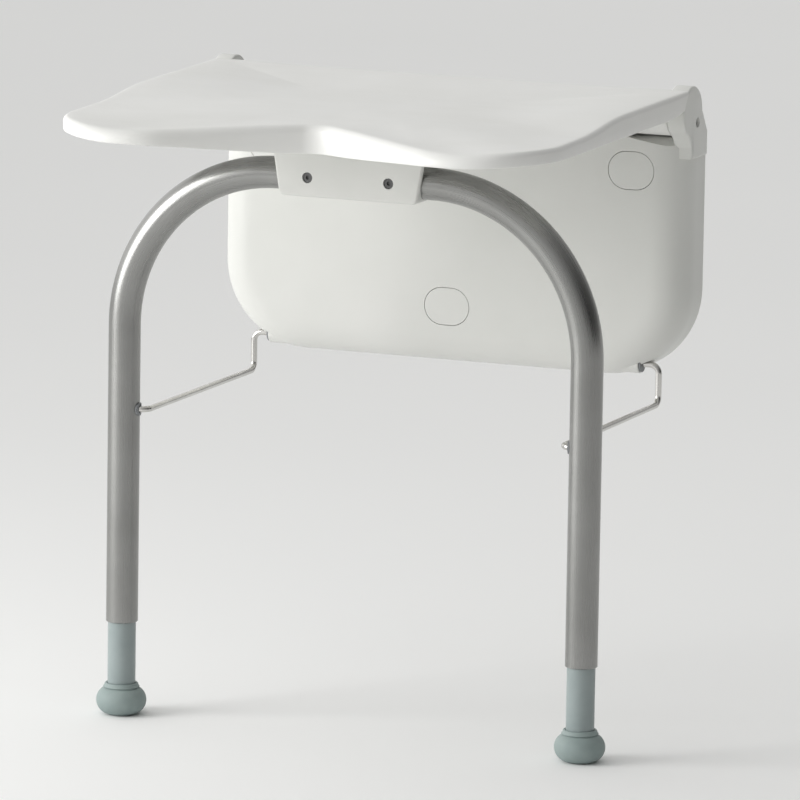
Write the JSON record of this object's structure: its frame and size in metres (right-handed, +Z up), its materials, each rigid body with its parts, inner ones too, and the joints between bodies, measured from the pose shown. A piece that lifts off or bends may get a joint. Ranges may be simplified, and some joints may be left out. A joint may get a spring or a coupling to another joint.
{
  "type": "folding shower seat",
  "caption": "Wall-mounted fold-up shower seat with a recessed moulded seat, a hinged tubular leg frame, telescoping feet and a wire stay.",
  "frame": {"origin": "on the floor under the middle of the object's footprint, with the feet standing on Z = 0", "axes": "+Z up, +Y towards the wall, +X to the right for someone who faces the wall"},
  "size_m": [0.4244, 0.3819, 0.4975],
  "materials": {
    "seat_plastic": "satin off-white moulded plastic",
    "plate_plastic": "satin off-white moulded plastic",
    "leg_aluminium": "satin anodised",
    "inner_leg_plastic": "pale blue-grey plastic",
    "foot_rubber": "teal-grey rubber",
    "stay_steel": "polished stainless steel wire",
    "screw_steel": "stainless steel",
    "bush_plastic": "grey bearing plastic"
  },
  "bodies": {
    "wall_mount": {"wall_plate": "plate_plastic", "cap_upper_left": "plate_plastic", "cap_upper_right": "plate_plastic", "cap_lower": "plate_plastic", "hinge_pin_left": "screw_steel", "hinge_pin_right": "screw_steel", "stay_bush_left": "bush_plastic", "stay_bush_right": "bush_plastic"},
    "seat": {"seat_shell": "seat_plastic", "hinge_bush_left": "bush_plastic", "hinge_bush_right": "bush_plastic", "clamp_housing": "seat_plastic", "housing_screws": "screw_steel", "guide_screws": "screw_steel"},
    "leg_frame": {"leg_tube": "leg_aluminium", "stay_grommet_left": "bush_plastic", "stay_grommet_right": "bush_plastic"},
    "left_leg": {"inner_leg_left": "inner_leg_plastic", "foot_left": "foot_rubber", "foot_washer_left": "screw_steel", "button_spring_left": "screw_steel"},
    "right_leg": {"inner_leg_right": "inner_leg_plastic", "foot_right": "foot_rubber", "foot_washer_right": "screw_steel", "button_spring_right": "screw_steel"},
    "left_button": {"snap_button_left": "screw_steel"},
    "right_button": {"snap_button_right": "screw_steel"},
    "stay": {"stay_wire": "stay_steel"}
  },
  "joints": [
    {"name": "seat_fold", "type": "hinge", "parent": "wall_mount", "child": "seat", "pos_m": [0, 0.164, 0.468], "axis": [-1, 0, 0], "range_deg": [0, 86]},
    {"name": "leg_frame_pivot", "type": "hinge", "parent": "seat", "child": "leg_frame", "pos_m": [0, -0.044, 0.437], "axis": [1, 0, 0], "range_deg": [0, 86]},
    {"name": "stay_swing", "type": "hinge", "parent": "wall_mount", "child": "stay", "pos_m": [0, 0.164, 0.274], "axis": [-1, 0, 0], "range_deg": [0, 86]},
    {"name": "left_leg_extend", "type": "slide", "parent": "leg_frame", "child": "left_leg", "axis": [0, 0, -1], "range_m": [-0.04, 0.08]},
    {"name": "right_leg_extend", "type": "slide", "parent": "leg_frame", "child": "right_leg", "axis": [0, 0, -1], "range_m": [-0.04, 0.08]},
    {"name": "left_button_press", "type": "slide", "parent": "left_leg", "child": "left_button", "axis": [0, -1, 0], "range_m": [0, 0.0045], "stiffness_N_per_m": 800, "springref_m": -0.001, "deforming": ["button_spring_left"]},
    {"name": "right_button_press", "type": "slide", "parent": "right_leg", "child": "right_button", "axis": [0, -1, 0], "range_m": [0, 0.0045], "stiffness_N_per_m": 800, "springref_m": -0.001, "deforming": ["button_spring_right"]}
  ],
  "couplings": [
    {"joint": "leg_frame_pivot", "follows": "seat_fold", "ratio": 1},
    {"joint": "stay_swing", "follows": "seat_fold", "ratio": 1}
  ]
}
